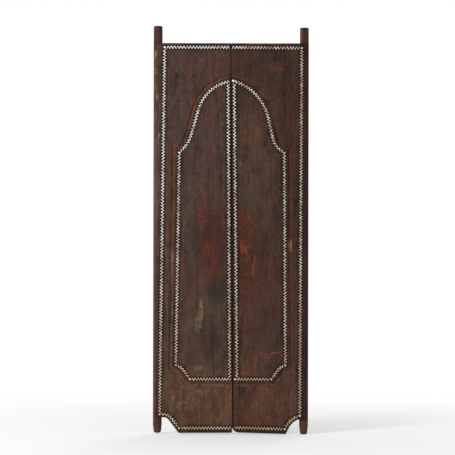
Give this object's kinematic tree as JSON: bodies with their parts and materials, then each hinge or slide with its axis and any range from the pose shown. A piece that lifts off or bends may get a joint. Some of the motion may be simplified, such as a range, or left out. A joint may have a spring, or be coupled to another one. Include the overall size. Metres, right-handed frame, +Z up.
{
  "type": "pair of inlaid pivot door leaves",
  "caption": "Pair of tall plank door leaves with round wooden pintles, cut lower corners, and zigzag shell inlay round the edges and an arched panel.",
  "frame": {"origin": "on the ground under the pintles' lower ends, midway between the two pintle axes and at the planks' mid thickness", "axes": "+X across the doorway from the left leaf to the right leaf, +Y from the inlaid front to the plain back, +Z up along the pintles"},
  "size_m": [0.7619, 0.044, 2.002],
  "materials": {
    "left_wood": "worn, dark stained, dry",
    "right_wood": "worn, dark stained, dry",
    "mastic": "black resin and soot, matt",
    "slips": "polished shell or bone",
    "squares": "polished shell or bone, yellower"
  },
  "bodies": {
    "left_leaf": {"left_leaf_plank": "left_wood", "left_border_mastic": "mastic", "left_panel_mastic": "mastic", "left_top_slips": "slips", "left_side_slips": "slips", "left_cut_slips": "slips", "left_foot_slips": "slips", "left_arch_slips": "slips", "left_panel_side_slips": "slips", "left_panel_cut_slips": "slips", "left_panel_foot_slips": "slips", "left_meeting_slips": "slips", "left_corner_squares": "squares"},
    "right_leaf": {"right_leaf_plank": "right_wood", "right_border_mastic": "mastic", "right_panel_mastic": "mastic", "right_top_slips": "slips", "right_side_slips": "slips", "right_cut_slips": "slips", "right_foot_slips": "slips", "right_arch_slips": "slips", "right_panel_side_slips": "slips", "right_panel_cut_slips": "slips", "right_panel_foot_slips": "slips", "right_meeting_slips": "slips", "right_corner_squares": "squares"}
  },
  "joints": [
    {"name": "right_leaf_swing", "type": "hinge", "parent": "left_leaf", "child": "right_leaf", "pos_m": [0.359, 0, 0], "axis": [0, 0, -1], "range_deg": [0, 105]}
  ]
}
